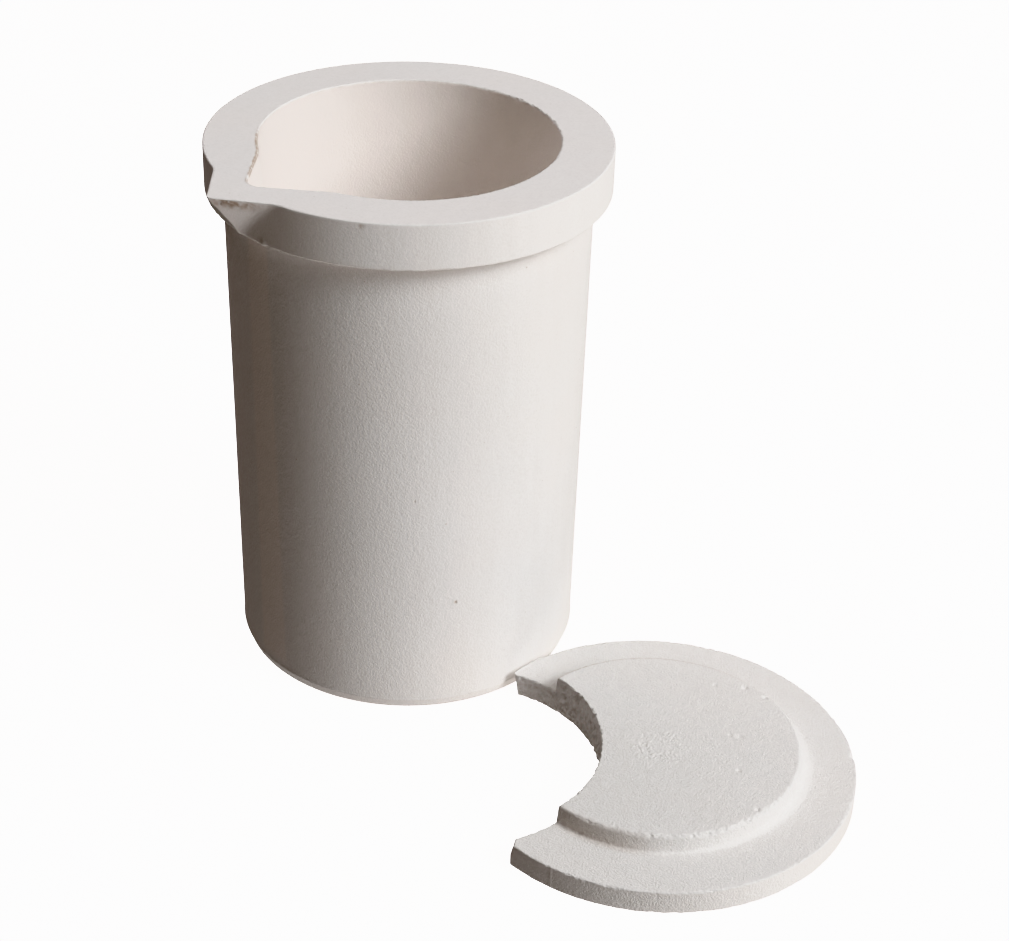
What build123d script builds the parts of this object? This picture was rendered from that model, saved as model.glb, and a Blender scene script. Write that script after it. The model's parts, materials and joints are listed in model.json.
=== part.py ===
"""A casting crucible with a pouring beak, and its crescent cover lying upside down in front of it.

Frame: millimetres, +Z up. The origin is on the pot's axis, at the face it stands on. The beak points
along -X, and the cover lies on the same surface, on the pot's -Y side.
"""
from build123d import *
from math import cos, hypot, radians, sin, sqrt, tan
import os

# Pot: the turned shape
total_height = 146.0
collar_radius = 52.3
collar_height = 12.1
collar_root_radius = 1.2
body_radius_top = 47.6
body_radius_foot = 46.5
foot_chamfer_width = 0.9
foot_chamfer_height = 2.7

# Pot: the well
bore_radius_mouth = 38.4
bore_radius_deep = 36.6
floor_thickness = 11.0
well_corner_radius = 14.0

# Pot: the beak, whose two flanks meet in a ridge that runs from its tip to the collar's foot
beak_tip = 61.7
beak_half_angle = 50.0
beak_tip_radius = 0.8
beak_root_radius = 8.0
beak_root_depth = 14.0

# Pot: the V groove, deepest at the rim and running out further down the well
groove_apex = 48.7
groove_half_angle = 46.0
groove_apex_radius = 4.4
groove_reach_in = 20.0
groove_depth = 52.0
groove_run_in = 11.6

# Inner edge of the mouth
rim_edge_radius = 0.5

# Cover
flange_radius = 51.5
flange_thickness = 6.6
plug_radius = 37.1
plug_thickness = 4.8
plug_draft = 0.5
plug_root_radius = 1.2
bite_radius = 36.2
bite_offset = 50.6
horn_tip_radius = 1.2
lid_edge_radius = 0.5

# Where the cover lies, and which way its bite faces (degrees from +X)
lid_centre = (4.1, -99.1)
bite_direction = 139.2

# Worked out from the above
collar_foot = total_height - collar_height
beak_overhang = beak_tip - collar_radius
lid_top = flange_thickness + plug_thickness


def beak_outline(draw_in):
    """Plan of the beak, moved towards the axis by draw_in: two straight flanks, each with an arc at its
    root that is tangent to the flank and, with no draw_in, to the collar."""
    flank_x = cos(radians(beak_half_angle))
    flank_y = sin(radians(beak_half_angle))
    arc_centre_reach = collar_radius + beak_root_radius
    flank_length = beak_tip * flank_x - sqrt(arc_centre_reach**2 - (beak_tip * flank_y + beak_root_radius) ** 2)
    arc_start = (flank_length * flank_x - beak_tip, flank_length * flank_y)
    arc_centre = (arc_start[0] - beak_root_radius * flank_y, arc_start[1] + beak_root_radius * flank_x)
    arc_end = tuple(c * collar_radius / arc_centre_reach for c in arc_centre)
    with BuildLine() as outline:
        Line((draw_in - beak_tip, 0), (draw_in + arc_start[0], arc_start[1]))
        RadiusArc(
            (draw_in + arc_start[0], arc_start[1]),
            (draw_in + arc_end[0], arc_end[1]),
            -beak_root_radius,
        )
        Polyline(
            (draw_in + arc_end[0], arc_end[1]),
            (draw_in + arc_end[0] + beak_root_depth, arc_end[1]),
            (draw_in + arc_end[0] + beak_root_depth, 0),
        )
        mirror(about=Plane.XZ)
    return outline.line


def groove_points(apex):
    """Corners of the V groove's wedge before its apex is rounded, with the rounded apex at x = -apex."""
    tip = apex + groove_apex_radius * (1 / sin(radians(groove_half_angle)) - 1)
    half_width = groove_reach_in * tan(radians(groove_half_angle))
    return [(-tip, 0), (groove_reach_in - tip, half_width), (groove_reach_in - tip, -half_width)]


def inside_collar(edge):
    """Whether the middle of an edge is nearer the pot's axis than the collar's wall is."""
    middle = edge @ 0.5
    return hypot(middle.X, middle.Y) < collar_radius - rim_edge_radius


def build_crucible():
    with BuildPart() as crucible:
        # Body and collar
        with BuildSketch(Plane.XZ) as half_section:
            Polygon(
                (0, 0),
                (body_radius_foot - foot_chamfer_width, 0),
                (body_radius_foot, foot_chamfer_height),
                (body_radius_top, collar_foot),
                (collar_radius, collar_foot),
                (collar_radius, total_height),
                (0, total_height),
                align=None,
            )
            collar_root = half_section.vertices().filter_by_position(Axis.Y, collar_foot, collar_foot)
            fillet(collar_root.sort_by(Axis.X)[0], collar_root_radius)
        revolve(axis=Axis.Z)

        # Beak: one outline at the top, and the same one at the collar's foot, drawn in by the overhang
        for height, draw_in in ((total_height, 0), (collar_foot, beak_overhang)):
            with BuildSketch(Plane.XY.offset(height)) as beak:
                with BuildLine():
                    add(beak_outline(draw_in))
                make_face()
                fillet(beak.vertices().sort_by(Axis.X)[0], beak_tip_radius)
        loft(ruled=True)

        # Well
        with BuildSketch(Plane.XZ) as well:
            Polygon(
                (0, floor_thickness),
                (bore_radius_deep, floor_thickness),
                (bore_radius_mouth, total_height),
                (0, total_height),
                align=None,
            )
            fillet(well.vertices().group_by(Axis.Y)[0].sort_by(Axis.X)[-1], well_corner_radius)
        revolve(axis=Axis.Z, mode=Mode.SUBTRACT)

        # V groove
        for drop, run_in in ((0, 0), (groove_depth, groove_run_in)):
            with BuildSketch(Plane.XY.offset(total_height - drop)) as groove:
                Polygon(*groove_points(groove_apex - run_in), align=None)
                fillet(groove.vertices().sort_by(Axis.X)[0], groove_apex_radius)
        loft(ruled=True, mode=Mode.SUBTRACT)

        # Inner edge of the mouth, round the well and the groove
        rim_edges = crucible.edges().filter_by_position(Axis.Z, total_height, total_height)
        fillet(rim_edges.filter_by(inside_collar), rim_edge_radius)

    crucible.part.label = "crucible"
    export_step(crucible.part, "parts/crucible.step")


def build_lid():
    bite_x = lid_centre[0] + bite_offset * cos(radians(bite_direction))
    bite_y = lid_centre[1] + bite_offset * sin(radians(bite_direction))

    with BuildPart() as lid:
        # Flange and plug, turned about the cover's own axis
        with BuildSketch(Plane.XZ.offset(-lid_centre[1])) as half_section:
            with Locations((lid_centre[0], 0)):
                Polygon(
                    (0, 0),
                    (flange_radius, 0),
                    (flange_radius, flange_thickness),
                    (plug_radius, flange_thickness),
                    (plug_radius - plug_draft, lid_top),
                    (0, lid_top),
                    align=None,
                )
            shoulder = half_section.vertices().filter_by_position(Axis.Y, flange_thickness, flange_thickness)
            fillet(shoulder.sort_by(Axis.X)[0], plug_root_radius)
        revolve(axis=Axis((*lid_centre, 0), (0, 0, 1)))

        # Bite
        with BuildSketch():
            with Locations((bite_x, bite_y)):
                Circle(bite_radius)
        extrude(amount=lid_top, mode=Mode.SUBTRACT)

        # Blunt tips on the flange's two horns, then the outer edges
        fillet(lid.edges().filter_by(Axis.Z), horn_tip_radius)
        fillet(lid.edges().filter_by_position(Axis.Z, 0, 0), lid_edge_radius)
        fillet(lid.edges().filter_by_position(Axis.Z, lid_top, lid_top), lid_edge_radius)

    lid.part.label = "lid"
    export_step(lid.part, "parts/lid.step")


os.makedirs("parts", exist_ok=True)
build_crucible()
build_lid()
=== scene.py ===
"""Looks of a casting crucible with a pouring beak, and of its crescent cover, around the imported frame.

Metres and +Z up. The origin is on the pot's axis, at the face it stands on. The beak points along -X, and
the cover lies upside down on the pot's -Y side. Turns on the pot are measured from the beak, counterclockwise
from above, and directions on the cover from +X. Angles are in radians, apart from the degrees in the tables.
"""
import bpy
import json
import numpy as np
from math import acos, asin, atan2, cos, pi, radians, sin, sqrt
from mathutils import Matrix, Vector
from mathutils.geometry import delaunay_2d_cdt


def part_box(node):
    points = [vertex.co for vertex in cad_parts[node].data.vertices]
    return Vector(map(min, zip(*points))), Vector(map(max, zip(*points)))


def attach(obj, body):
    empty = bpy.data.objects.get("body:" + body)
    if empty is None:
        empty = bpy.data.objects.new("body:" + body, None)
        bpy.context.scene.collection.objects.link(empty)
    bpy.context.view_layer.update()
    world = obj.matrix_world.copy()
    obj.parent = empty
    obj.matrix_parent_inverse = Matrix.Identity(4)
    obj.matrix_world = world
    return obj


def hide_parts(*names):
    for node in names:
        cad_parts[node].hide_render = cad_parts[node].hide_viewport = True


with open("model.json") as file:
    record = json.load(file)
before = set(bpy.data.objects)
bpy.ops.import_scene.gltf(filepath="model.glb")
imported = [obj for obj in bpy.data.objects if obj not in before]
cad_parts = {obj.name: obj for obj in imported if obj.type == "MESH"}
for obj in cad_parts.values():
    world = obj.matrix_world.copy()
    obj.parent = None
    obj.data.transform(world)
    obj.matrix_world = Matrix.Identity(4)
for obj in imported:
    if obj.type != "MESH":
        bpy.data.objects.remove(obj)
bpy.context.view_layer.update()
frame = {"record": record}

MM = 0.001

# Pot, from the frame
pot_low, pot_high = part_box("crucible")
mounts = {mount["name"]: mount for mount in frame["record"]["mounts"]}
total_height = pot_high.z
collar_radius = pot_high.y
collar_foot = mounts["collar_underside"]["pos_m"][2]
collar_height = total_height - collar_foot

# Pot, outside
collar_root_radius = 1.2 * MM
body_radius_top = 47.6 * MM
body_radius_foot = 46.5 * MM
foot_chamfer_width = 0.9 * MM
foot_chamfer_height = 2.7 * MM
beak_half_angle = radians(50)
beak_tip_radius = 0.8 * MM
beak_tip = -pot_low.x + beak_tip_radius * (1 / sin(beak_half_angle) - 1)
beak_root_radius = 8 * MM

# Pot, inside
bore_radius_mouth = 38.4 * MM
bore_radius_deep = 36.6 * MM
floor_thickness = 11 * MM
well_corner_radius = 14 * MM
groove_apex = 48.7 * MM
groove_half_angle = radians(46)
groove_apex_radius = 4.4 * MM
groove_depth = 52 * MM
groove_run_in = 11.6 * MM
groove_edge_blend = 1.2 * MM

# Seam of the mould round the top of the foot's chamfer
seam_rise = 0.12 * MM
seam_half_width = 0.4 * MM

# Pits in the pot's body: degrees from the beak, height, radius, depth. Their centres lie at pit_reach from
# the axis. Each has a swelling round it, so many times as wide and as high, and painted shade in it, which
# is darker the deeper it is.
body_pits = (
    (67.5, 33.9 * MM, 0.42 * MM, 0.9 * MM),
    (54.0, 66.2 * MM, 0.3 * MM, 0.32 * MM),
)
pit_reach = body_radius_top - 0.5 * MM
swelling_width = 3.5
swelling_rise = 0.12
pit_painted_shade = 1.8 / MM

# Chip in the collar's upper edge, darkened with painted shade
collar_chip_turn = radians(39.5)
collar_chip_drop = 1.0 * MM
collar_chip_radius = 0.5 * MM
collar_chip_depth = 0.25 * MM
chip_painted_shade = 0.8

# Casting flash at the foot of the collar, beside the beak
flash_turn = radians(9.8)
flash_height = collar_foot + 0.3 * MM
flash_radius = 1.6 * MM
flash_rise = 0.35 * MM

# Edge of the mouth, the stretch of it that is frayed, and the teeth of that stretch
mouth_edge_width = 0.5 * MM
fringe_turn = radians(175)
fringe_width = 0.6
fringe_tooth_size = 0.42 * MM
fringe_tooth_depth = 0.5 * MM

# Crumbled patch on the beak's near flank, just under its upper edge
flank_turn = radians(4)
flank_width = radians(5)
flank_drop = 1.4 * MM
flank_height = 1.5 * MM
flank_clear_of_rim = 0.3 * MM
flank_crumb_size = 0.8 * MM
flank_crumb_depth = 2.4 * MM
flank_crumb_contrast = (1, 0.42, -0.1)

# Far edge of the groove, and the painted brown shade on the collar beside the beak, where it faces away from
# the light
groove_far_turn = radians(-22)
groove_far_width = radians(20)
painted_shade_turn = radians(19)
painted_shade_width = radians(10)

# Wear of the pot's edges: size of the crumbs, then least and most radius of the rounding. It is greater by
# some share at the beak, where the mouth is frayed and on the far edge of the groove.
outer_edge_wear = (1.3 * MM, 0.35 * MM, 0.6 * MM)
inner_edge_wear = (0.8 * MM, 0.3 * MM, 0.8 * MM)
lower_edge_wear = (1.6 * MM, 0.4 * MM, 0.9 * MM)
beak_ridge_wear = (1.5 * MM, 0.2 * MM, 1.2 * MM)
worn_beak_width = radians(16)
beak_extra_wear = 0.4
fringe_extra_wear = 0.6
groove_extra_wear = 0.9

# Brown grains of the pot and how strongly they stain it, then how dark the painted shade beside the beak is
pot_stain_size = 0.7 * MM
pot_stain_contrast = (3.2, 0.9)
groove_stain_inset = 0.3 * MM
groove_stain_width = 0.36 * MM
groove_stain = 1.6
mouth_stain = 0.35
flank_stain = 1.2
beak_painted_shade = 0.16

# Cover, from the frame
lid_low, lid_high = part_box("lid")
lid_top = lid_high.z
flange_radius = (lid_high.y - lid_low.y) / 2
lid_centre = np.array((lid_high.x - flange_radius, lid_low.y + flange_radius))

# Cover
flange_thickness = 6.6 * MM
plug_radius = 37.1 * MM
plug_draft = 0.5 * MM
plug_root_radius = 0.5 * MM
bite_radius = 36.2 * MM
bite_offset = 50.6 * MM
bite_direction = radians(139.2)
horn_radius = 1.8 * MM
plug_thickness = lid_top - flange_thickness
wide_root_radius = 3.6 * MM
wide_root_direction = radians(325)

# Ring of grit that the gate has left on the plug
gate_offset = (-0.5 * MM, 1.5 * MM)
gate_radius = 4.4 * MM
gate_width = 3.0 * MM
gate_relief = 0.42 * MM
gate_grit_size = 0.5 * MM
gate_patch_size = 3 * MM

# Seam of the mould on the flange's wall, and a chip in its upper edge
flange_wall_depth = 0.2 * MM
flange_seam_direction = radians(197)
flange_seam_width = 0.25 * MM
flange_seam_rise = 0.1 * MM
flange_chip_direction = radians(322)
flange_chip_radius = 1.6 * MM
flange_chip_depth = 0.5 * MM

# Pits in the plug's face: degrees round the cover's axis, distance from it, radius, depth
cover_pits = (
    (4, 34.4 * MM, 1.2 * MM, 0.4 * MM),
    (354, 35.9 * MM, 1.1 * MM, 0.4 * MM),
    (16, 30.1 * MM, 0.8 * MM, 0.25 * MM),
    (328, 21.7 * MM, 1.3 * MM, 0.3 * MM),
    (331, 19.4 * MM, 0.7 * MM, 0.3 * MM),
    (292, 22.7 * MM, 1.0 * MM, 0.35 * MM),
    (272, 34.8 * MM, 1.0 * MM, 0.4 * MM),
)
plug_top_radius = plug_radius - plug_draft
gate_reach = gate_radius + gate_width + 1.6 * MM

# Rough wall of the bite, whose pits are shallower outside the plug
bite_pit_size = 1.0 * MM
bite_pit_depth = 2.2 * MM
bite_pit_reach = 1.2 * MM
bite_sand_relief = 0.1 * MM
bite_smoothing_width = 3 * MM
bite_flange_share = 0.4

# Wear of the cover's edges: size of the crumbs, then least and most radius of the rounding. The plug's edge
# is worn more on one side.
upper_edge_wear = (0.9 * MM, 0.3 * MM, 1.1 * MM)
underside_edge_wear = (1.4 * MM, 0.3 * MM, 0.8 * MM)
plug_edge_wear = (0.8 * MM, 0.25 * MM, 0.7 * MM)
crumbled_direction = radians(240)
crumbled_spread = 0.35
crumbled_extra_wear = 2.4

# Broken corners of the horns: how far they reach, over what distance they fade, how rough and how lumpy they
# are, and the share of the corner that is gone
break_reach = 13 * MM
break_fade = 7 * MM
break_roughness = 0.5 * MM
break_lump_size = 1.2 * MM
break_share = 0.9

# Brown line of painted shade along one side of the plug's upper edge, brown tint at its foot, and brown
# grains in the bite
line_direction = radians(58)
line_spread = 0.3
line_width = 0.27 * MM
line_painted_shade = 0.9
line_grain_painted_shade = 0.4
tint_direction = radians(203)
tint_spread = 0.06
tint_width = 1.2 * MM
tint_stain = 0.4
lid_stain_size = 0.6 * MM
lid_stain_contrast = (3.2, 1.4)
bite_stain_width = 0.4 * MM
bite_stain = 0.3

# Colours and sheen of the ceramic
ceramic_warm = (0.925, 0.895, 0.868)
ceramic_grey = (0.912, 0.894, 0.875)
# Colour of the well: its own warmer tint, made brighter and warmer still as painted bounce light
ceramic_inside_and_bounce = (0.972, 0.908, 0.86)
ceramic_shade = (0.68, 0.64, 0.605)
ceramic_brown = (0.42, 0.31, 0.23)
ceramic_roughness = (0.84, 0.96)
ceramic_specular = 0.3

# What the ceramic's colour is made of: sizes, then how strongly each shows
cloud_size = 22 * MM
streak_size = 3 * MM
grain_size = 0.55 * MM
speck_size = 1.1 * MM
streak_share = 0.08
grain_share = 0.22
speck_share = 0.55
inside_and_bounce_share = 0.85
stain_share = 0.85

# Relief and grain of the ceramic
slow_relief = 0.05 * MM
slow_relief_size = 12 * MM
sand_relief = 0.05 * MM
sand_relief_size = 1.2 * MM
fine_sand_size = 0.28 * MM
fine_sand_share = 0.45
wave_size = 2.2 * MM
wave_share = 0.9
pot_grain_depth = 0.085 * MM
lid_grain_depth = 0.16 * MM
pot_streak_stretch = 0.12
pot_rim_smoothness = 0.55
collar_grain_share = 0.6
collar_grain_fade = 4 * MM

# Points on the pot: round each ring, and along the stretches of its section
pot_columns = 588
body_rows = 62
collar_rows = 26
rim_rows = 20
well_rows = 34

# Points on the cover: spacing above and below, how many more where they are crowded, and the rings just
# inside its outline
fine_step = 0.385 * MM
coarse_step = 0.9 * MM
wall_rows = 26
horn_points = 9
crowded_bite_points = 60
crowded_rings = 55
shared_width = 2.5 * MM
skirt_insets = (0.1 * MM, 0.24 * MM, 0.48 * MM)
skirt_margin = 0.7 * MM

# Camera: which side of the pot it is on, its distance from the pot's axis and its height, then how it looks
camera_azimuth = radians(232)
camera_distance = 0.52625
camera_height = 0.36981
camera_heading = radians(49.11)
camera_pitch = radians(31.508)
camera_roll = radians(1.746)
camera_lens_mm = 79.593
camera_sensor_mm = 36

# Lights: degrees to the camera's right, elevation, size, watts, colour and distance from the pot's foot. The
# bounces stand for what a pale table throws back, and shine through the floor, which casts no shadow.
studio_lights = {
    "key_low": (60, 32, 1.0, 32.4, (0.935, 0.96, 0.99), 2.6),
    "key_high": (60, 45, 1.0, 32.4, (0.935, 0.96, 0.975), 2.6),
    "back": (210, 50, 1.6, 17.6, (1, 0.93, 0.95), 2.6),
    "side_bounce": (70, -40, 2.2, 22, (1, 0.9, 0.8), 2.6),
    "floor_bounce": (20, -70, 2.2, 33, (1, 0.98, 1), 2.6),
    "near_bounce": (-10, -30, 0.1, 0.007, (1, 0.97, 1), 0.15),
}
world_colour = (1.0, 0.77, 0.58)
world_strength = 0.075

# Floor
floor_half_width = 4
floor_colour = (0.9, 0.9, 0.9)
floor_glow = 3


# Noise and spacing

noise_cells = 32
noise_seed = 11
noise_lattice = np.random.default_rng(noise_seed).random((noise_cells,) * 3)
crowding_steps = 4000
corner_share = 0.41

# Crumbs along an edge, and the larger patches that they come in: gain, offset and least value of the noise
crumb_contrast = (2.4, 0.9)
patch_contrast = (1.8, 0.3, 0.15)
patch_scale = 7


def noise(points, size, shift=0.0):
    """Smooth noise from 0 to 1 at an array of points, with lumps about `size` across."""
    place = points / size + shift
    corner = np.floor(place).astype(int)
    along = place - corner
    along = along * along * (3 - 2 * along)
    total = np.zeros(points.shape[:-1])
    for step in np.ndindex(2, 2, 2):
        weight = np.prod(np.where(step, along, 1 - along), axis=-1)
        cell = (corner + step) % noise_cells
        total += weight * noise_lattice[cell[..., 0], cell[..., 1], cell[..., 2]]
    return total


def layered_noise(points, size, shift=0.0, layers=3):
    """Noise from 0 to 1 with finer noise on top, each layer half the size and half the strength."""
    total = 0.0
    weights = 0.0
    layer_shift = 7.3
    for layer in range(layers):
        weight = 0.5**layer
        total = total + weight * noise(points, size * weight, shift + layer_shift * layer)
        weights += weight
    return total / weights


def contrasted(values, gain, offset, least=0):
    """Noise with its contrast raised by gain, then lowered by offset, and kept from least to 1."""
    return np.clip(values * gain - offset, least, 1)


def crowded(start, end, count, weight):
    """count values from start to end, closer together where weight is high."""
    fine = np.linspace(start, end, crowding_steps)
    density = 1 + weight(fine)
    progress = np.concatenate(((0,), np.cumsum((density[1:] + density[:-1]) / 2)))
    return np.interp(np.linspace(0, progress[-1], count), progress, fine)


def near(values, centre, width):
    """1 at centre, falling to 0 within a few widths of it."""
    return np.exp(-(((values - centre) / width) ** 2))


def round_edge(points, distance, inward, radius):
    """Moves the points within radius of an edge inward, so that the edge is rounded to that radius. The edge
    itself moves by corner_share of the radius."""
    reach = np.clip(1 - distance / radius, 0, None)
    points += (corner_share * radius * reach**2)[..., None] * inward


# Pot

def turn_from_beak(turn):
    """Size of the shorter turn between a direction and the beak's."""
    return np.abs((turn + pi) % (2 * pi) - pi)


def column_crowding(turn):
    """Columns stand closer near the beak, at its ridge, at the body's pits and where the mouth is frayed."""
    at_beak = near(turn_from_beak(turn), 0, 0.45)
    at_fringe = 1.3 * near(turn_from_beak(turn - fringe_turn), 0, 0.5)
    at_ridge = 4 * near(turn_from_beak(turn), 0, 0.015)
    at_pits = sum(2.5 * near(turn, radians(pit[0]), 0.03) for pit in body_pits)
    return at_beak + at_ridge + at_pits + at_fringe


angles = crowded(0, 2 * pi, pot_columns + 1, column_crowding)[:-1]
from_beak = turn_from_beak(angles)
signed_turn = (angles + pi) % (2 * pi) - pi


def wedge_radius(tip, half_angle, tip_radius):
    """Distance from the axis to the sides of a wedge that points at the beak, with its tip rounded."""
    sides = tip * sin(half_angle) / np.sin(np.minimum(half_angle + from_beak, pi / 2))
    centre = tip - tip_radius / sin(half_angle)
    tangent_angle = atan2(tip_radius * cos(half_angle), centre + tip_radius * sin(half_angle))
    under_root = np.clip(tip_radius**2 - (centre * np.sin(from_beak)) ** 2, 0, None)
    rounded = centre * np.cos(from_beak) + np.sqrt(under_root)
    return np.where(from_beak < tangent_angle, rounded, sides)


def outer_radius(height):
    """Distance from the axis to the outside of the collar and the beak, all round at one height."""
    tip = beak_tip - (beak_tip - collar_radius) * (total_height - height) / collar_height
    reach = collar_radius + beak_root_radius
    arc_angle = asin((beak_root_radius + tip * sin(beak_half_angle)) / reach) - beak_half_angle
    start_x = reach * cos(arc_angle) - beak_root_radius * sin(beak_half_angle)
    start_y = reach * sin(arc_angle) - beak_root_radius * cos(beak_half_angle)
    start_angle = max(atan2(start_y, start_x), 0)
    across = reach * np.sin(from_beak - arc_angle)
    under_root = np.clip(beak_root_radius**2 - across**2, 0, None)
    root_arc = reach * np.cos(from_beak - arc_angle) - np.sqrt(under_root)
    flank = wedge_radius(tip, beak_half_angle, beak_tip_radius)
    radius = np.where(from_beak < arc_angle, root_arc, collar_radius)
    radius = np.where(from_beak < start_angle, flank, radius)
    return np.maximum(radius, collar_radius)


def inner_radius(height):
    """Distance from the axis to the wall of the well and the groove, all round at one height."""
    share = (height - floor_thickness) / (total_height - floor_thickness)
    bore = bore_radius_deep + (bore_radius_mouth - bore_radius_deep) * share
    run_in = groove_run_in * (total_height - height) / groove_depth
    tip = groove_apex - run_in + groove_apex_radius * (1 / sin(groove_half_angle) - 1)
    wedge = wedge_radius(tip, groove_half_angle, groove_apex_radius)
    groove = np.where(from_beak < pi / 2 - groove_half_angle, wedge, 0)
    overlap = np.clip(1 - np.abs(groove - bore) / groove_edge_blend, 0, None)
    return np.maximum(groove, bore) + overlap**2 * groove_edge_blend / 4


def row_crowding(height):
    """Rows stand closer at the body's pits."""
    return sum(6 * near(height, pit[1], 1.6 * MM) for pit in body_pits)


def collar_crowding(height):
    """Rows stand closer at the collar's two edges."""
    return 6 * near(height, collar_foot, 0.6 * MM) + 6 * near(height, total_height, 0.6 * MM)


def rim_crowding(share):
    """Rings of the rim stand closer at its outer and inner edges."""
    return 5 * near(share, 0, 0.05) + 6 * near(share, 1, 0.07)


def well_crowding(height):
    """Rows of the well stand closer at the mouth."""
    return 10 * near(height, total_height, 1 * MM) + 1.5 * near(height, total_height, 8 * MM)


def pot_rings():
    """Radii and height of every ring of points: the underside, up the outside, then down the well."""
    rings = []
    foot_inner = body_radius_foot - foot_chamfer_width
    for share in (0.1, 0.4, 0.7, 0.9, 0.97, 1):
        rings.append((share * foot_inner, 0))
    for share in (0.25, 0.6, 0.85):
        rings.append((foot_inner + share * foot_chamfer_width, share * foot_chamfer_height))

    # Seam of the mould, then the body, with rows crowded where its pits are
    for offset, rise in ((-seam_half_width, 0), (0, seam_rise), (seam_half_width, 0)):
        inset = max(-offset, 0) * foot_chamfer_width / foot_chamfer_height
        rings.append((body_radius_foot - inset + rise, foot_chamfer_height + offset))
    body_top = collar_foot - collar_root_radius
    for height in crowded(foot_chamfer_height + 2 * seam_half_width, body_top, body_rows, row_crowding):
        share = (height - foot_chamfer_height) / (collar_foot - foot_chamfer_height)
        rings.append((body_radius_foot + (body_radius_top - body_radius_foot) * share, height))

    # Under the collar: the root's arc, then the flat
    for turn in (25, 50, 75, 90):
        out = collar_root_radius * (1 - cos(radians(turn)))
        rings.append((body_radius_top + out, body_top + collar_root_radius * sin(radians(turn))))
    for inset in (2, 0.9, 0.4, 0.15):
        rings.append((collar_radius - inset * MM, collar_foot))

    # Collar, rim, well
    for height in crowded(collar_foot, total_height, collar_rows, collar_crowding):
        rings.append((outer_radius(height), height))
    outer = outer_radius(total_height)
    inner = inner_radius(total_height)
    for share in crowded(0, 1, rim_rows, rim_crowding)[1:]:
        rings.append((outer + (inner - outer) * share, total_height))
    well_foot = floor_thickness + well_corner_radius
    for height in crowded(total_height, well_foot, well_rows, well_crowding)[1:]:
        rings.append((inner_radius(height), height))

    # Corner of the well and its floor
    for turn in range(15, 91, 15):
        inset = well_corner_radius * (1 - cos(radians(turn)))
        rings.append((inner_radius(well_foot) - inset, well_foot - well_corner_radius * sin(radians(turn))))
    flat_radius = inner_radius(well_foot) - well_corner_radius
    for share in (0.75, 0.5, 0.25, 0.08):
        rings.append((flat_radius * share, floor_thickness))
    return rings


def grid_quads(rows, columns):
    """Quads between each row of points and the next, closed round every row."""
    row, column = np.meshgrid(np.arange(rows - 1), np.arange(columns), indexing="ij")
    here = row * columns + column
    beside = row * columns + (column + 1) % columns
    return np.stack((here, beside, beside + columns, here + columns), axis=-1).reshape(-1, 4)


def grid_normals(points):
    """Unit normals of a grid of points that is closed along its second axis."""
    round_ring = np.roll(points, -1, axis=1) - np.roll(points, 1, axis=1)
    along_section = np.gradient(points, axis=0)
    normals = np.cross(round_ring, along_section)
    return normals / np.maximum(np.linalg.norm(normals, axis=-1, keepdims=True), 1e-12)


def at_turn(turn, radius, height):
    """Point at a turn from the beak, a distance from the pot's axis and a height."""
    return np.array((-radius * cos(turn), -radius * sin(turn), height))


def press(points, normals, centre, radius, depth):
    """Presses a ragged pit into the surface round a point, or raises it where depth is negative."""
    ragged = 0.75 + 0.5 * noise(points, radius, shift=4.0)
    distance = np.linalg.norm(points - centre, axis=-1) / radius * ragged
    points -= (depth * np.clip(1 - distance**2, 0, None) ** 2)[..., None] * normals


def raggedness(points, size, least, most, shift):
    """Radius to round an edge to: least where it is whole, up to most where it has crumbled."""
    crumbs = contrasted(layered_noise(points, size, shift), *crumb_contrast)
    patches = contrasted(noise(points, patch_scale * size, shift + 1.7), *patch_contrast)
    return least + (most - least) * crumbs * patches


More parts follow.
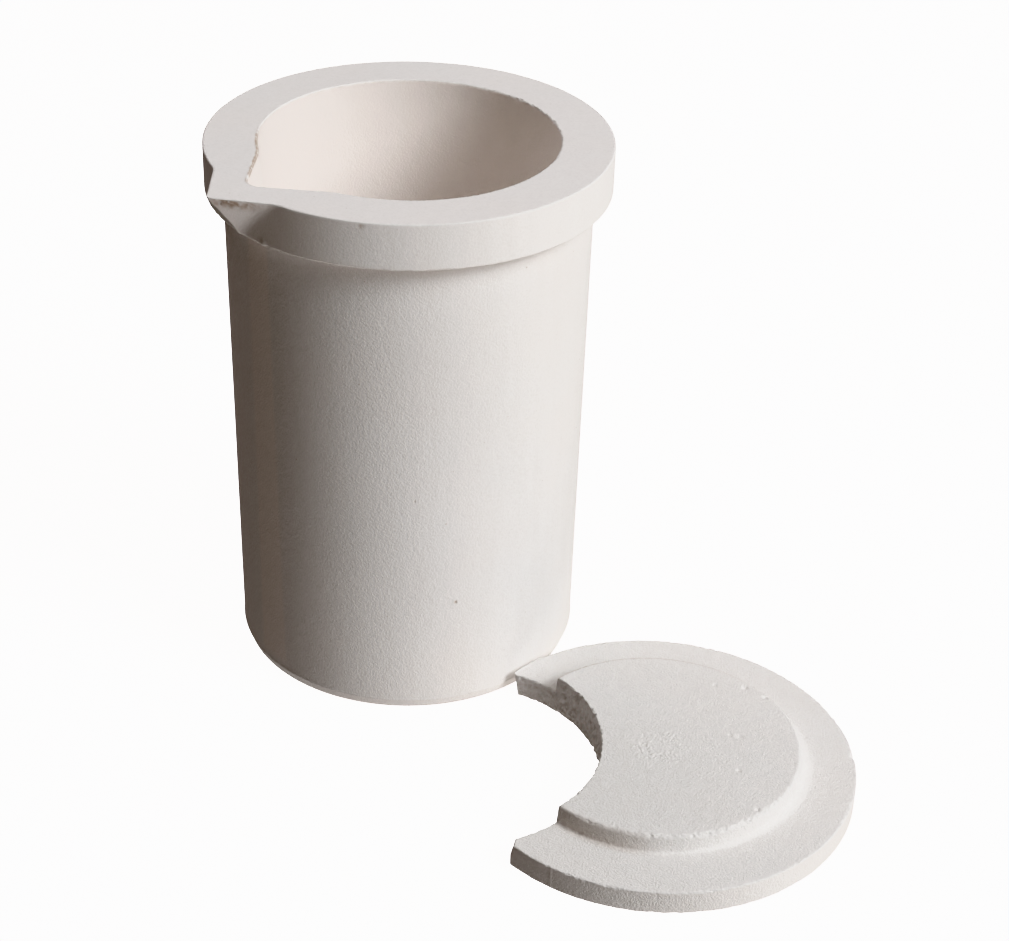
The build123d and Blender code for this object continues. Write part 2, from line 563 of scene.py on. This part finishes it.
def wear_pot(points, normals, radius, height):
    """Wears the pot's edges and adds its pits, flash and chip. Returns how stained and how darkened with
    painted shade each point is.
    """
    outer = np.array([outer_radius(level) for level in np.maximum(height[:, 0], collar_foot)])
    inner = inner_radius(total_height)
    spokes = np.stack((-np.cos(angles), -np.sin(angles), np.zeros(pot_columns)), axis=-1)
    spokes = np.broadcast_to(spokes, points.shape)
    up = np.array((0, 0, 1))
    near_beak = near(from_beak, 0, worn_beak_width)
    fringe = near(turn_from_beak(angles - fringe_turn), 0, fringe_width)
    groove_far_edge = np.exp(-(((signed_turn - groove_far_turn) / groove_far_width) ** 4))
    below_rim = total_height - height

    # Edges of the collar, of the mouth and of the beak's ridge
    outer_edge = np.abs(outer - radius) + below_rim
    inner_edge = np.abs(radius - inner) + below_rim
    lower_edge = np.abs(outer - radius) + np.abs(height - collar_foot)
    extra_wear = fringe_extra_wear * fringe + groove_extra_wear * groove_far_edge
    outer_loss = raggedness(points, *outer_edge_wear, shift=3.0) * (1 + beak_extra_wear * near_beak)
    inner_loss = raggedness(points, *inner_edge_wear, shift=6.0) * (1 + extra_wear)
    lower_loss = raggedness(points, *lower_edge_wear, shift=9.0)
    ridge_loss = raggedness(points, *beak_ridge_wear, shift=12.0)
    round_edge(points, outer_edge, -(spokes + up) / sqrt(2), outer_loss)
    round_edge(points, inner_edge, (spokes - up) / sqrt(2), inner_loss)
    round_edge(points, lower_edge, (up - spokes) / sqrt(2), lower_loss)
    teeth = contrasted(noise(points, fringe_tooth_size, shift=8.0), *crumb_contrast)
    frayed = fringe * near(inner_edge, 0, mouth_edge_width) * teeth
    points += spokes * (fringe_tooth_depth * frayed)[..., None]
    on_beak_face = (height > collar_foot) & (radius > outer - 0.01 * MM)
    far_away = 1
    to_ridge = radius * np.sin(from_beak) + np.where(on_beak_face, 0, far_away)
    round_edge(points, to_ridge, np.broadcast_to(np.array((1, 0, 0)), points.shape), ridge_loss)

    # Crumbled patch on the beak's near flank
    along_flank = near(signed_turn, flank_turn, flank_width)
    down_flank = near(below_rim, flank_drop, flank_height)
    crumbled = on_beak_face * along_flank * down_flank * (below_rim > flank_clear_of_rim)
    crumbs = contrasted(layered_noise(points, flank_crumb_size, shift=18.0), *flank_crumb_contrast)
    points -= spokes * (crumbled * flank_crumb_depth * crumbs)[..., None]

    # Pits, flash and chip, with painted shade in the pits and the chip
    painted_pit_shade = 0
    for turn, level, size, depth in body_pits:
        centre = at_turn(radians(turn), pit_reach, level)
        press(points, normals, centre, swelling_width * size, -swelling_rise * depth)
        painted_pit_shade = painted_pit_shade + pit_painted_shade * depth * near(np.linalg.norm(points - centre, axis=-1), 0, size)
        press(points, normals, centre, size, depth)
    press(points, normals, at_turn(flash_turn, collar_radius, flash_height), flash_radius, -flash_rise)
    chip = at_turn(collar_chip_turn, collar_radius, total_height - collar_chip_drop)
    press(points, spokes, chip, collar_chip_radius, collar_chip_depth)
    from_chip = np.linalg.norm(points - chip, axis=-1)
    painted_pit_shade = painted_pit_shade + chip_painted_shade * near(from_chip, 0, collar_chip_radius)

    # Brown grains where the flank and the groove's far edge have crumbled, and painted brown shade beside the
    # beak
    grains = contrasted(layered_noise(points, pot_stain_size, shift=15.0), *pot_stain_contrast)
    on_groove = groove_stain * near(inner_edge, groove_stain_inset, groove_stain_width) * groove_far_edge
    on_mouth = mouth_stain * near(inner_edge, 0, mouth_edge_width) * (below_rim > 0.1 * MM)
    # Painted shade: the collar beside the beak is darkened where it faces away from the light
    painted_shade_mask = on_beak_face * near(signed_turn, painted_shade_turn, painted_shade_width) * (below_rim > 0.6 * MM)
    brown = grains * (on_groove + on_mouth + flank_stain * crumbled)
    return np.clip(brown + beak_painted_shade * painted_shade_mask + painted_pit_shade, 0, 1)


def build_pot():
    """The pot as one closed mesh, with its wear."""
    rings = pot_rings()
    radius = np.array([np.broadcast_to(ring[0], angles.shape) for ring in rings])
    height = np.array([np.broadcast_to(ring[1], angles.shape) for ring in rings])
    points = np.stack((-radius * np.cos(angles), -radius * np.sin(angles), height), axis=-1)
    normals = grid_normals(points)

    # Slow unevenness of the casting, then the edges
    points += normals * (slow_relief * (noise(points, slow_relief_size, shift=1.0) - 0.5))[..., None]
    stain_and_shade = wear_pot(points, normals, radius, height)

    rows = len(rings)
    verts = points.reshape(-1, 3)
    bottom_centre = len(verts)
    top_centre = bottom_centre + 1
    verts = np.vstack((verts, (0, 0, 0), (0, 0, floor_thickness)))
    faces = grid_quads(rows, pot_columns).tolist()
    last = (rows - 1) * pot_columns
    for column in range(pot_columns):
        beside = (column + 1) % pot_columns
        faces.append((bottom_centre, beside, column))
        faces.append((top_centre, last + column, last + beside))

    # The well is painted warmer and brighter than the outside, partly its own tint and partly painted warm
    # bounce light from its walls. The last two values are for the middles of the underside, which is not, and
    # of the floor, which is.
    past_mouth = np.clip(radius - inner_radius(total_height), 0, None)
    well_tint_and_bounce = near(past_mouth, 0, 1 * MM) * (height > floor_thickness / 2)
    well_tint_and_bounce = well_tint_and_bounce * (1 - near(height, total_height, 0.3 * MM))
    stain_and_shade = np.append(stain_and_shade, (0, 0))
    well_tint_and_bounce = np.append(well_tint_and_bounce, (0, 1))
    return mesh_object("crucible_casting", verts, faces, stain_and_shade, well_tint_and_bounce)


def mesh_object(name, verts, faces, stain_and_shade, well_tint_and_bounce):
    """A new smooth-shaded mesh object, with how stained and darkened with painted shade each vertex is, and
    how much of the well's warm colour and painted bounce light it has.
    """
    mesh = bpy.data.meshes.new(name)
    mesh.from_pydata(verts.tolist(), [], faces)
    mesh.polygons.foreach_set("use_smooth", np.ones(len(mesh.polygons), bool))
    for attribute, values in (("stain_and_shade", stain_and_shade), ("well_tint_and_bounce", well_tint_and_bounce)):
        layer = mesh.attributes.new(attribute, "FLOAT", "POINT")
        layer.data.foreach_set("value", values.astype(np.float32))
    mesh.validate()
    mesh.update()
    piece = bpy.data.objects.new(name, mesh)
    bpy.context.scene.collection.objects.link(piece)
    return piece


# Cover, worked out about its own axis with the bite along +X, then turned and moved into place

def triangle_angle(beside, other, opposite):
    """Angle between two sides of a triangle, from the lengths of those two and of the side opposite."""
    return acos((beside**2 + other**2 - opposite**2) / (2 * beside * other))


# Centres of the horns' arcs and of the bite, and the directions of the sharp corners that the horns round
# off. Where the bite's arc ends and where the plug's wall meets it are turns about the bite's centre.
horn_reach = flange_radius - horn_radius
horn_angle = triangle_angle(horn_reach, bite_offset, bite_radius + horn_radius)
horn_centre = horn_reach * np.array((cos(horn_angle), sin(horn_angle)))
corner_angle = triangle_angle(flange_radius, bite_offset, bite_radius)
bite_centre = np.array((bite_offset, 0.0))
bite_half_angle = atan2(horn_centre[1], bite_offset - horn_centre[0])
plug_turn = triangle_angle(bite_offset, bite_radius, plug_radius)

# Broken corners: which horn, the corner's level, then the way the break faces, as a turn and a lean upwards,
# and how far it lies behind the corner
horn_turn = (horn_angle - bite_half_angle) / 2
broken_corners = (
    (1, flange_thickness, horn_turn, 0.26, 2.4 * MM),
    (-1, 0, -horn_angle, -0.24, 2.9 * MM),
)


def arc(centre, radius, turns):
    """Points on a circle at the given angles."""
    return np.asarray(centre) + radius * np.stack((np.cos(turns), np.sin(turns)), axis=-1)


def bite_crowding(turn):
    """Points of the bite's outline stand closer where the plug's wall and root meet it."""
    at_wall = 9 * near(np.abs(turn), plug_turn - 0.008, 0.012)
    at_root = 1.5 * near(np.abs(turn), plug_turn + 0.03, 0.03)
    return at_wall + at_root


def crescent_outline(inset):
    """Closed outline of the cover, drawn in by inset: flange, horn, bite and horn."""
    flange_count = round(flange_radius * (2 * pi - 2 * horn_angle) / fine_step)
    flange_turns = np.linspace(horn_angle, 2 * pi - horn_angle, flange_count, endpoint=False)
    far_turns = np.linspace(-horn_angle, bite_half_angle, horn_points, endpoint=False)
    near_turns = np.linspace(-bite_half_angle, horn_angle, horn_points, endpoint=False)
    bite_count = round(2 * bite_radius * bite_half_angle / fine_step) + crowded_bite_points
    bite_turns = pi + crowded(bite_half_angle, -bite_half_angle, bite_count, bite_crowding)[:-1]
    mirrored = np.array((1, -1))
    return np.vstack((
        arc((0, 0), flange_radius - inset, flange_turns),
        arc(horn_centre * mirrored, horn_radius - inset, far_turns),
        arc(bite_centre, bite_radius + inset, bite_turns),
        arc(horn_centre, horn_radius - inset, near_turns),
    ))


def inside_crescent(points, margin):
    """Whether each point is inside the cover's outline by at least margin."""
    from_axis = np.hypot(points[:, 0], points[:, 1])
    from_bite = np.hypot(points[:, 0] - bite_offset, points[:, 1])
    to_horn = np.stack((points[:, 0], np.abs(points[:, 1])), axis=-1) - horn_centre
    turn = np.arctan2(to_horn[:, 1], to_horn[:, 0])
    at_horn = (turn > -bite_half_angle) & (turn < horn_angle)
    beyond_horn = at_horn & (np.hypot(*to_horn.T) > horn_radius - margin)
    return (from_axis < flange_radius - margin) & (from_bite > bite_radius + margin) & ~beyond_horn


def ring_fill(radii, step, shared_ring=None):
    """Points on rings about the axis, step apart. With a shared ring, the rings near it share its angles, and
    those at the mark of the gate have twice as many points."""
    points = [np.zeros((1, 2))]
    for number, radius in enumerate(radii):
        shared = shared_ring is not None and abs(radius - shared_ring) < shared_width
        ring_step = step / 2 if shared_ring is not None and radius < gate_reach else step
        count = max(round(2 * pi * (shared_ring if shared else radius) / ring_step), 6)
        shift = 0 if shared else (number % 2) * pi / count
        points.append(arc((0, 0), radius, np.arange(count) * 2 * pi / count + shift))
    return np.vstack(points)


def fill_outline(outlines, interior):
    """Triangles that fill the first outline. The other outlines and the interior are points inside it. Gives
    the points, the triangles, and which of the points make the outline."""
    count = len(outlines[0])
    points = np.vstack((*outlines, interior)) / MM
    edges = [(number, (number + 1) % count) for number in range(count)]
    inside_only = 1
    tolerance = 1e-6
    filled = delaunay_2d_cdt([Vector(point) for point in points], edges, [], inside_only, tolerance)
    verts = np.array([vertex[:] for vertex in filled[0]]) * MM
    source = [indices[0] for indices in filled[3]]
    order = np.full(len(points), -1)
    order[source] = np.arange(len(verts))
    return verts, np.array(filled[2]), order[:count]


def cover_height(distance, root_radius):
    """Height of the cover's upper side at a distance from its axis."""
    drop = plug_thickness - root_radius
    wall = lid_top - (distance - plug_top_radius) / plug_draft * drop
    under_root = np.clip(root_radius**2 - (plug_radius + root_radius - distance) ** 2, 0, None)
    root = flange_thickness + root_radius - np.sqrt(under_root)
    height = np.where(distance < plug_top_radius, lid_top, wall)
    height = np.where(distance > plug_radius, root, height)
    return np.where(distance > plug_radius + root_radius, flange_thickness, height)


def end_crowding(share):
    """Rows of the cover's wall stand closer at its two edges."""
    return 3 * near(share, 0, 0.06) + 3 * near(share, 1, 0.06)


def ring_crowding(radius):
    """Rings stand closer at the plug's wall, at its root and at the mark of the gate."""
    at_wall = 8 * near(radius, plug_top_radius + plug_draft / 2, 0.35 * MM)
    at_root = 1.5 * near(radius, plug_radius + 1 * MM, 1 * MM)
    return at_wall + at_root + (radius < gate_reach)


def build_lid():
    """The cover as one closed mesh, with its wear."""
    outline = crescent_outline(0)
    skirts = [crescent_outline(inset) for inset in skirt_insets]
    ring_count = round(flange_radius / fine_step) + crowded_rings
    radii = crowded(fine_step, flange_radius - skirt_margin, ring_count, ring_crowding)
    fine = ring_fill(radii, fine_step, plug_radius)
    fine = fine[inside_crescent(fine, skirt_margin)]
    top, top_faces, top_rim = fill_outline([outline, *skirts], fine)
    coarse = ring_fill(np.arange(coarse_step, flange_radius, coarse_step), coarse_step)
    coarse = coarse[inside_crescent(coarse, skirt_margin)]
    bottom, bottom_faces, bottom_rim = fill_outline([outline, *skirts], coarse)

    # Upper side, underside, and the wall between their outlines
    top_height = cover_height(np.hypot(*top.T), root_radius_at(top))
    rim_height = top_height[top_rim]
    shares = crowded(0, 1, wall_rows, end_crowding)[1:-1]
    wall = np.vstack([np.column_stack((outline, share * rim_height)) for share in shares])
    verts = np.vstack((
        np.column_stack((top, top_height)),
        np.column_stack((bottom, np.zeros(len(bottom)))),
        wall,
    ))
    count = len(outline)
    wall_start = len(top) + len(bottom)
    rows = [bottom_rim + len(top)]
    rows += [wall_start + row * count + np.arange(count) for row in range(len(shares))]
    rows.append(top_rim)
    faces = top_faces.tolist() + (bottom_faces[:, ::-1] + len(top)).tolist()
    for low, high in zip(rows, rows[1:]):
        faces += np.stack((low, np.roll(low, -1), np.roll(high, -1), high), axis=-1).tolist()

    stain_and_shade = wear_lid(verts)
    turned = verts.copy()
    turned[:, 0] = verts[:, 0] * cos(bite_direction) - verts[:, 1] * sin(bite_direction) + lid_centre[0]
    turned[:, 1] = verts[:, 0] * sin(bite_direction) + verts[:, 1] * cos(bite_direction) + lid_centre[1]
    return mesh_object("lid_casting", turned, faces, stain_and_shade, np.zeros(len(verts)))


def root_radius_at(points):
    """Radius of the fillet round the plug's foot, which is wide on one side and tight on the other."""
    turn = np.arctan2(points[:, 1], points[:, 0]) + bite_direction
    wide = (1 + np.cos(turn - wide_root_direction)) / 2
    return plug_root_radius + (wide_root_radius - plug_root_radius) * wide**3


def facing(direction, towards, spread):
    """1 where a direction round the cover is the one given, falling to 0 on both sides of it."""
    return near(np.cos(direction - towards), 1, spread)


def wear_lid(verts):
    """Roughens the cover, and wears and breaks its edges. Returns how stained and how darkened with painted
    shade each vertex is.
    """
    from_axis = np.hypot(verts[:, 0], verts[:, 1])
    from_bite = np.hypot(verts[:, 0] - bite_offset, verts[:, 1])
    height = verts[:, 2].copy()
    top_height = cover_height(from_axis, root_radius_at(verts))
    direction = np.arctan2(verts[:, 1], verts[:, 0]) + bite_direction
    crumbled = facing(direction, crumbled_direction, crumbled_spread)
    inset = np.clip(np.minimum(flange_radius - from_axis, from_bite - bite_radius), 0, None)
    on_bite = (from_bite - bite_radius) < (flange_radius - from_axis)
    towards_solid = np.where(on_bite[:, None], verts[:, :2] - bite_centre, -verts[:, :2])
    towards_solid /= np.maximum(np.linalg.norm(towards_solid, axis=1, keepdims=True), 1e-9)
    towards_solid = np.column_stack((towards_solid, np.zeros(len(verts))))
    spokes = np.column_stack((verts[:, :2] / np.maximum(from_axis, 1e-9)[:, None], np.zeros(len(verts))))
    up = np.array((0, 0, 1))

    # Sandy faces: the upper side with the ring that the gate has left, then the wall of the bite
    upward = height > 0.99 * top_height
    sand = layered_noise(verts, sand_relief_size, shift=20.0, layers=2) - 0.5
    from_gate = np.hypot(verts[:, 0] - gate_offset[0], verts[:, 1] - gate_offset[1])
    gate = near(from_gate, gate_radius, gate_width) * (0.5 + 0.7 * noise(verts, gate_patch_size, shift=24.0))
    grit = layered_noise(verts, gate_grit_size, shift=23.0, layers=2) - 0.5
    verts[:, 2] += upward * (sand_relief * sand + gate_relief * grit * gate)
    pits = np.clip(layered_noise(verts, bite_pit_size, shift=26.0) - 0.5, 0, 1)
    within_plug = np.clip((plug_radius - from_axis) / bite_smoothing_width, 0, 1)
    share = bite_flange_share + (1 - bite_flange_share) * within_plug
    roughened = on_bite * np.clip(1 - inset / bite_pit_reach, 0, 1) * share
    verts += towards_solid * (roughened * (bite_pit_depth * pits + bite_sand_relief * sand))[:, None]

    # Edges
    upper_loss = raggedness(verts, *upper_edge_wear, shift=29.0)
    lower_loss = raggedness(verts, *underside_edge_wear, shift=32.0)
    plug_loss = raggedness(verts, *plug_edge_wear, shift=35.0) * (1 + crumbled_extra_wear * crumbled)
    upper_edge = inset + np.clip(top_height - height, 0, None)
    plug_edge = np.abs(plug_top_radius - from_axis) + np.abs(lid_top - height)
    round_edge(verts, upper_edge, (towards_solid - up) / sqrt(2), upper_loss)
    round_edge(verts, inset + height, (towards_solid + up) / sqrt(2), lower_loss)
    round_edge(verts, plug_edge, -(spokes + up) / sqrt(2), plug_loss)

    mark_flange(verts, from_axis, direction, spokes)
    break_horns(verts)
    for turn, reach, size, deep in cover_pits:
        spot = arc((0, 0), reach, radians(turn) - bite_direction)
        press(verts, np.broadcast_to(up, verts.shape), np.array((*spot, lid_top)), size, deep)

    # Brown grains in the bite, painted brown shade along the plug's edge, and brown at its foot
    grains = contrasted(layered_noise(verts, lid_stain_size, shift=38.0), *lid_stain_contrast)
    off_edges = (height > 0.1 * MM) * (height < top_height - 0.2 * MM)
    on_wall = on_bite * near(inset, 0, bite_stain_width) * off_edges
    # Painted shade: a brown line along the plug's upper edge on one side, where the edge drops to the flange
    painted_line_mask = near(plug_top_radius - from_axis, 0, line_width)
    painted_line_mask = painted_line_mask * facing(direction, line_direction, line_spread)
    on_foot = near(from_axis, plug_radius + 0.2 * MM, tint_width)
    on_foot = on_foot * facing(direction, tint_direction, tint_spread)
    tint = upward * ((line_painted_shade + line_grain_painted_shade * grains) * painted_line_mask + tint_stain * on_foot)
    return np.clip(bite_stain * grains * on_wall + tint, 0, 1)


def mark_flange(verts, from_axis, direction, spokes):
    """Adds the seam of the mould to the flange's wall, and a chip to its upper edge."""
    seam = near(flange_radius * np.sin(direction - flange_seam_direction), 0, flange_seam_width)
    on_wall = flange_radius - from_axis < flange_wall_depth
    on_side = np.cos(direction - flange_seam_direction) > 0
    verts += spokes * (flange_seam_rise * seam * (on_wall * on_side))[:, None]
    chip = np.array((*arc((0, 0), flange_radius, flange_chip_direction - bite_direction), flange_thickness))
    press(verts, (spokes + np.array((0, 0, 1))) / sqrt(2), chip, flange_chip_radius, flange_chip_depth)


def break_horns(verts):
    """Breaks a corner off each horn: the upper corner of one, then the lower corner of the other. The breaks
    are uneven, and fade away from the corner."""
    for side, level, turn, lean, drop in broken_corners:
        outward = np.array((cos(turn), sin(turn), lean))
        outward /= np.linalg.norm(outward)
        corner = np.array((*arc((0, 0), flange_radius, side * corner_angle), level))
        roughness = break_roughness * (layered_noise(verts, break_lump_size, shift=41.0) - 0.5)
        from_corner = np.linalg.norm(verts - corner, axis=1)
        at_corner = np.clip((break_reach - from_corner) / break_fade, 0, 1)
        beyond = at_corner * np.clip((verts - corner) @ outward + drop + roughness, 0, None)
        verts -= break_share * beyond[:, None] * outward


# Materials

def noise_value(tree, place, size, detail, stretch=(1, 1, 1)):
    """Fractal noise with lumps about `size` across, longer along an axis whose stretch is under 1."""
    mapping = tree.nodes.new("ShaderNodeMapping")
    mapping.inputs["Scale"].default_value = stretch
    texture = tree.nodes.new("ShaderNodeTexNoise")
    texture.inputs["Scale"].default_value = 1 / size
    texture.inputs["Detail"].default_value = detail
    tree.links.new(place, mapping.inputs["Vector"])
    tree.links.new(mapping.outputs["Vector"], texture.inputs["Vector"])
    return texture.outputs["Fac"]


def remapped(tree, value, low, high, new_low, new_high):
    """A value's range from low to high, clamped and moved to a new range."""
    node = tree.nodes.new("ShaderNodeMapRange")
    for socket, number in zip(("From Min", "From Max", "To Min", "To Max"), (low, high, new_low, new_high)):
        node.inputs[socket].default_value = number
    tree.links.new(value, node.inputs["Value"])
    return node.outputs["Result"]


def combined(tree, operation, first, second):
    """Two values added or multiplied. The second may be a plain number."""
    node = tree.nodes.new("ShaderNodeMath")
    node.operation = operation
    tree.links.new(first, node.inputs[0])
    if isinstance(second, (int, float)):
        node.inputs[1].default_value = second
    else:
        tree.links.new(second, node.inputs[1])
    return node.outputs["Value"]


def blended(tree, share, first, second):
    """First colour where share is 0, second where it is 1. First may be another node's output."""
    node = tree.nodes.new("ShaderNodeMix")
    node.data_type = "RGBA"
    tree.links.new(share, node.inputs["Factor"])
    for socket, colour in zip((node.inputs[6], node.inputs[7]), (first, second)):
        if isinstance(colour, tuple):
            socket.default_value = (*colour, 1)
        else:
            tree.links.new(colour, socket)
    return node.outputs[2]


def attribute_value(tree, name):
    """A value that each vertex of the mesh carries."""
    node = tree.nodes.new("ShaderNodeAttribute")
    node.attribute_name = name
    return node.outputs["Fac"]


def height_of(tree, vector):
    """The Z of a place or a direction."""
    node = tree.nodes.new("ShaderNodeSeparateXYZ")
    tree.links.new(vector, node.inputs["Vector"])
    return node.outputs["Z"]


def ceramic_colour(tree, place, grain, stretch):
    """Warm and grey clouds, drawn streaks, darker grains, dark specks, the warm well with its painted bounce
    light, and brown stains with painted shade.
    """
    clouds = remapped(tree, noise_value(tree, place, cloud_size, 3), 0.25, 0.75, 0, 1)
    streaks = noise_value(tree, place, streak_size, 3, (1, 1, stretch))
    specks = noise_value(tree, place, speck_size, 1)
    colour = blended(tree, clouds, ceramic_warm, ceramic_grey)
    for value, low, high, share, tone in (
        (streaks, 0.35, 0.75, streak_share, ceramic_shade),
        (grain, 0.45, 0.8, grain_share, ceramic_shade),
        (specks, 0.80, 0.86, speck_share, ceramic_brown),
        (attribute_value(tree, "well_tint_and_bounce"), 0, 1, inside_and_bounce_share, ceramic_inside_and_bounce),
        (attribute_value(tree, "stain_and_shade"), 0, 1, stain_share, ceramic_brown),
    ):
        colour = blended(tree, remapped(tree, value, low, high, 0, share), colour, tone)
    return colour


def ceramic(name, stretch, depth, rim_smoothness):
    """Unglazed, sandy, off-white ceramic. A stretch under 1 draws its streaks out along its height, and
    rim_smoothness takes that share of the grain off the faces that look up."""
    material = bpy.data.materials.new(name)
    material.use_nodes = True
    tree = material.node_tree
    shader = tree.nodes["Principled BSDF"]
    place = tree.nodes.new("ShaderNodeTexCoord").outputs["Object"]
    grain = noise_value(tree, place, grain_size, 2)
    tree.links.new(ceramic_colour(tree, place, grain, stretch), shader.inputs["Base Color"])
    tree.links.new(remapped(tree, grain, 0.3, 0.7, *ceramic_roughness), shader.inputs["Roughness"])
    shader.inputs["Specular IOR Level"].default_value = ceramic_specular

    # Grain, finer sand and shallow waves as bumps, weaker on the faces that look up and on the collar
    sand = noise_value(tree, place, fine_sand_size, 2)
    waves = noise_value(tree, place, wave_size, 2)
    relief = combined(tree, "ADD", grain, combined(tree, "MULTIPLY", sand, fine_sand_share))
    relief = combined(tree, "ADD", relief, combined(tree, "MULTIPLY", waves, wave_share))
    upward = height_of(tree, tree.nodes.new("ShaderNodeNewGeometry").outputs["Normal"])
    on_faces = remapped(tree, upward, 0.85, 0.98, 1, 1 - rim_smoothness)
    level = height_of(tree, place)
    on_collar = remapped(tree, level, collar_foot - collar_grain_fade, collar_foot, 1, collar_grain_share)
    bump = tree.nodes.new("ShaderNodeBump")
    bump.inputs["Distance"].default_value = depth
    tree.links.new(relief, bump.inputs["Height"])
    tree.links.new(combined(tree, "MULTIPLY", on_faces, on_collar), bump.inputs["Strength"])
    tree.links.new(bump.outputs["Normal"], shader.inputs["Normal"])
    return material


# Stage

def place_camera():
    """The camera at the photograph's viewing angle."""
    forward = Vector((
        cos(camera_pitch) * cos(camera_heading),
        cos(camera_pitch) * sin(camera_heading),
        -sin(camera_pitch),
    ))
    level_right = Vector((sin(camera_heading), -cos(camera_heading), 0))
    level_up = level_right.cross(forward)
    right = cos(camera_roll) * level_right + sin(camera_roll) * level_up
    up = cos(camera_roll) * level_up - sin(camera_roll) * level_right
    data = bpy.data.cameras.new("camera")
    data.lens = camera_lens_mm
    data.sensor_fit = "HORIZONTAL"
    data.sensor_width = camera_sensor_mm
    camera = bpy.data.objects.new("camera", data)
    bpy.context.scene.collection.objects.link(camera)
    place = Matrix((right, up, -forward)).transposed().to_4x4()
    place.translation = (
        camera_distance * cos(camera_azimuth),
        camera_distance * sin(camera_azimuth),
        camera_height,
    )
    camera.matrix_world = place
    bpy.context.scene.camera = camera


def view_direction(side, elevation):
    """Unit vector from the pot's foot, side degrees to the camera's right, at an elevation in degrees."""
    heading = camera_heading + pi + radians(side)
    return Vector((
        cos(radians(elevation)) * cos(heading),
        cos(radians(elevation)) * sin(heading),
        sin(radians(elevation)),
    ))


def soft_light(name, side, elevation, size, watts, colour, distance):
    """A square soft light that faces the pot's foot, side degrees to the camera's right of it."""
    data = bpy.data.lights.new(name, "AREA")
    data.shape = "SQUARE"
    data.size = size
    data.energy = watts
    data.color = colour
    light = bpy.data.objects.new(name, data)
    bpy.context.scene.collection.objects.link(light)
    direction = view_direction(side, elevation)
    light.location = direction * distance
    light.rotation_euler = direction.to_track_quat("Z", "Y").to_euler()
    light.visible_camera = False


def build_floor():
    """A wide pale floor that the camera sees near white, and whose own light doesn't reach the object."""
    mesh = bpy.data.meshes.new("floor")
    reach = floor_half_width
    corners = [(-reach, -reach, 0), (reach, -reach, 0), (reach, reach, 0), (-reach, reach, 0)]
    mesh.from_pydata(corners, [], [(0, 1, 2, 3)])
    floor = bpy.data.objects.new("floor", mesh)
    bpy.context.scene.collection.objects.link(floor)
    material = bpy.data.materials.new("pale_floor")
    material.use_nodes = True
    shader = material.node_tree.nodes["Principled BSDF"]
    shader.inputs["Base Color"].default_value = (*floor_colour, 1)
    shader.inputs["Emission Color"].default_value = (1, 1, 1, 1)
    shader.inputs["Emission Strength"].default_value = floor_glow
    shader.inputs["Roughness"].default_value = 1.0
    floor.data.materials.append(material)
    floor.visible_diffuse = False
    floor.visible_glossy = False
    floor.visible_shadow = False


def build_world():
    """Dim warm light from all round."""
    world = bpy.data.worlds.new("world")
    world.use_nodes = True
    background = world.node_tree.nodes["Background"]
    background.inputs["Color"].default_value = (*world_colour, 1)
    background.inputs["Strength"].default_value = world_strength
    bpy.context.scene.world = world
    bpy.context.scene.view_settings.view_transform = "Khronos PBR Neutral"


pot = build_pot()
pot_ceramic = ceramic("crucible_ceramic", pot_streak_stretch, pot_grain_depth, pot_rim_smoothness)
pot.data.materials.append(pot_ceramic)
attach(pot, "pot")
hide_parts("crucible")

lid = build_lid()
lid_ceramic = ceramic("lid_ceramic", 1, lid_grain_depth, 0)
lid.data.materials.append(lid_ceramic)
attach(lid, "cover")
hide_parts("lid")

build_floor()
build_world()
for light_name, light in studio_lights.items():
    soft_light(light_name, *light)
place_camera()
